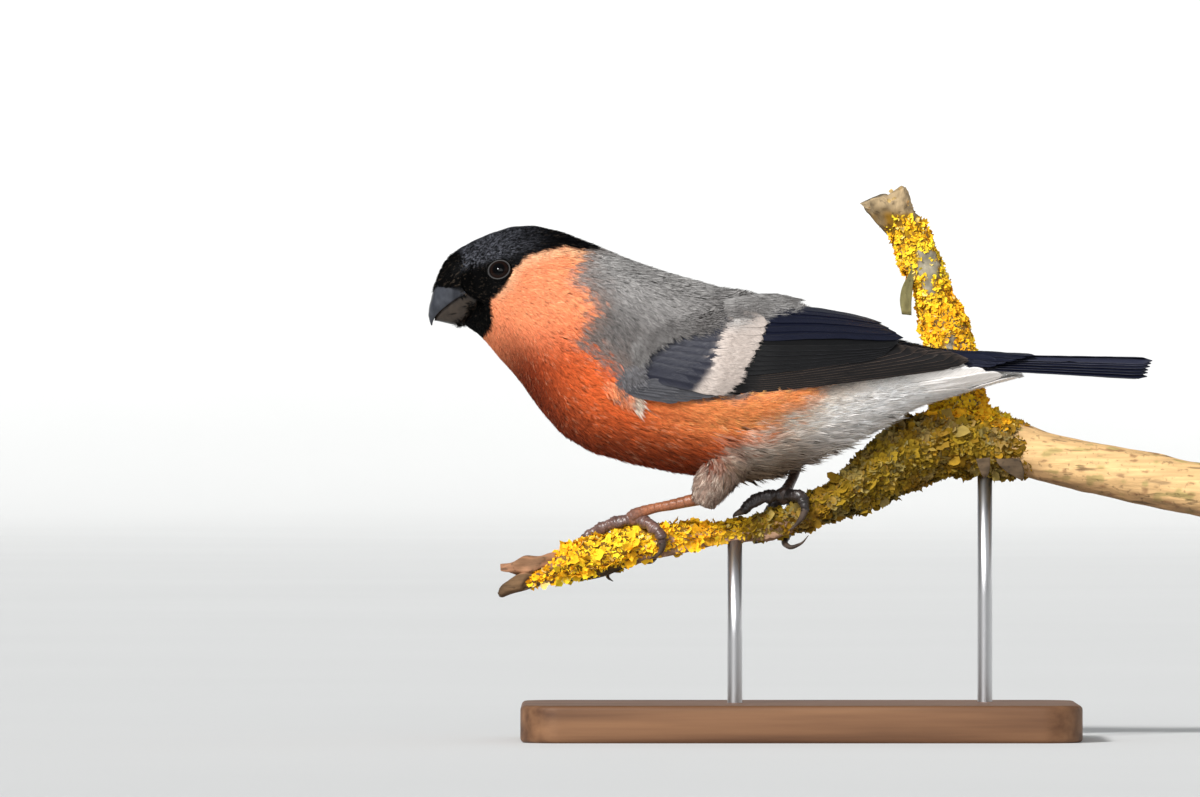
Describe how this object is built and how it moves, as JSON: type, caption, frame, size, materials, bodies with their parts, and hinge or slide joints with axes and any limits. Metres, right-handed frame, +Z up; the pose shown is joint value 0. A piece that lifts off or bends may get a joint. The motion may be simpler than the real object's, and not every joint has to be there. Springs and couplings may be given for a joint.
{
  "type": "bullfinch on a branch, life-size still model on a stand",
  "caption": "Cock bullfinch, life size and still, gripping a short forked, lichened branch held over a flat base by two rods.",
  "frame": {"origin": "centre of the underside of the stand's flat base", "axes": "+Z up; the bird faces -X with its tail towards +X; its left side faces -Y, and Y = 0 is the plane that halves the bird"},
  "size_m": [0.1704, 0.072, 0.1208],
  "materials": {
    "cap_feathers": "glossy blue-black feathers",
    "breast_feathers": "soft orange-red feathers",
    "mantle_feathers": "soft blue-grey feathers",
    "rump_feathers": "soft white feathers",
    "flight_feathers": "blue-black flight feathers with a dull gloss",
    "bill_horn": "smooth dark horn",
    "eye": "wet dark brown eye",
    "leg_skin": "scaled pinkish brown skin",
    "claw_horn": "dark brown horn",
    "lichened_bark": "thin bark under yellow-orange leafy lichen",
    "bare_wood": "dry barkless wood",
    "stand_wood": "satin varnished wood",
    "stand_metal": "brushed rods"
  },
  "bodies": {
    "root": {"head": "cap_feathers", "neck": "breast_feathers", "torso": "mantle_feathers", "rump": "rump_feathers", "tail": "flight_feathers", "wing_left": "flight_feathers", "wing_right": "flight_feathers", "upper_bill": "bill_horn", "lower_bill": "bill_horn", "eye_left": "eye", "eye_right": "eye", "thigh_left": "breast_feathers", "thigh_right": "breast_feathers", "tarsus_left": "leg_skin", "tarsus_right": "leg_skin", "foot_left": "leg_skin", "foot_right": "leg_skin", "claw_left_outer": "claw_horn", "claw_left_middle": "claw_horn", "claw_left_inner": "claw_horn", "claw_left_hind": "claw_horn", "claw_right_middle": "claw_horn", "claw_right_inner": "claw_horn", "claw_right_hind": "claw_horn", "claw_right_outer": "claw_horn", "perch_tip": "lichened_bark", "perch_middle": "lichened_bark", "perch_crotch": "lichened_bark", "perch_butt": "bare_wood", "perch_fork": "lichened_bark", "stand_base": "stand_wood", "stand_rod_front": "stand_metal", "stand_rod_back": "stand_metal"}
  },
  "joints": []
}
